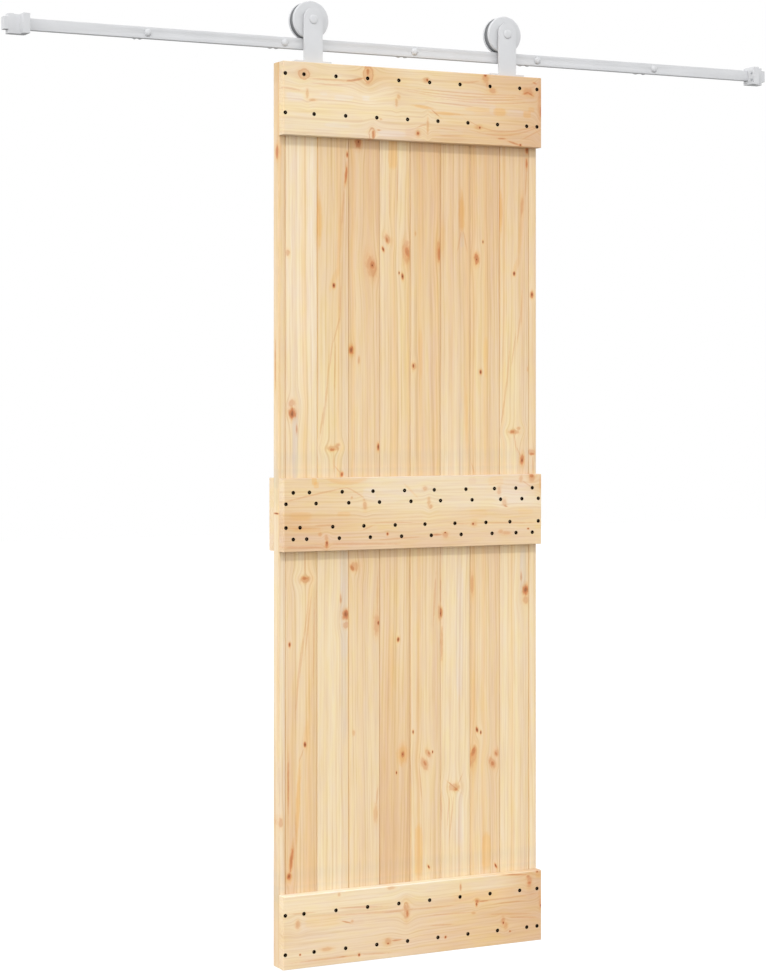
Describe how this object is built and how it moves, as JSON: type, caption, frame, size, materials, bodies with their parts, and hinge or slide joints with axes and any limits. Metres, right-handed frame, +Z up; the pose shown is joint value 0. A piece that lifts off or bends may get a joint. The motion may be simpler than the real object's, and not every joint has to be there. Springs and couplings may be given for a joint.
{
  "type": "sliding door",
  "caption": "Ledged pine door hung by strap hangers from flanged wheels on a wall-mounted steel rail with spacers and end stops.",
  "frame": {"origin": "where the axis of the middle rail bolt meets the face of the wall, so the wall is the plane y = 0", "axes": "+Z up, +X along the rail to the right as seen from the room, +Y from the room into the wall"},
  "size_m": [2.0366, 0.135, 2.2482],
  "materials": {
    "pine": "planed pine, bare or with a clear matt finish",
    "white_paint": "satin white powder coat on steel",
    "zinc": "zinc-plated steel"
  },
  "bodies": {
    "track": {"end_stop_left": "white_paint", "end_stop_left_screw_lower": "zinc", "end_stop_left_screw_upper": "zinc", "end_stop_right": "white_paint", "end_stop_right_screw_lower": "zinc", "end_stop_right_screw_upper": "zinc", "rail": "white_paint", "rail_bolt_1": "white_paint", "rail_bolt_2": "white_paint", "rail_bolt_3": "white_paint", "rail_bolt_4": "white_paint", "rail_bolt_5": "white_paint", "rail_spacer_1": "white_paint", "rail_spacer_2": "white_paint", "rail_spacer_3": "white_paint", "rail_spacer_4": "white_paint", "rail_spacer_5": "white_paint"},
    "door": {"axle_bolt_left": "white_paint", "axle_bolt_right": "white_paint", "axle_bush_left": "zinc", "axle_bush_right": "zinc", "axle_nut_left": "zinc", "axle_nut_right": "zinc", "board_1": "pine", "board_2": "pine", "board_3": "pine", "board_4": "pine", "board_5": "pine", "board_6": "pine", "board_7": "pine", "board_8": "pine", "edge_strip_left": "pine", "edge_strip_right": "pine", "foot_screw_left_a": "zinc", "foot_screw_left_b": "zinc", "foot_screw_right_a": "zinc", "foot_screw_right_b": "zinc", "front_ledge_bottom": "pine", "front_ledge_middle": "pine", "front_ledge_top": "pine", "hanger_left": "white_paint", "hanger_right": "white_paint", "rear_ledge_middle": "pine"},
    "wheel_left": {"wheel_bearing_left": "zinc", "wheel_left": "white_paint"},
    "wheel_right": {"wheel_bearing_right": "zinc", "wheel_right": "white_paint"}
  },
  "joints": [
    {"name": "door_slide", "type": "slide", "parent": "track", "child": "door", "axis": [1, 0, 0], "range_m": [-0.661, 0.693]},
    {"name": "wheel_left_roll", "type": "hinge", "parent": "door", "child": "wheel_left", "pos_m": [-0.276, -0.0445, 0.0554], "axis": [0, 1, 0], "continuous": true},
    {"name": "wheel_right_roll", "type": "hinge", "parent": "door", "child": "wheel_right", "pos_m": [0.244, -0.0445, 0.0554], "axis": [0, 1, 0], "continuous": true}
  ],
  "couplings": [
    {"joint": "wheel_left_roll", "follows": "door_slide", "rad_per_m": 23.697},
    {"joint": "wheel_right_roll", "follows": "door_slide", "rad_per_m": 23.697}
  ]
}
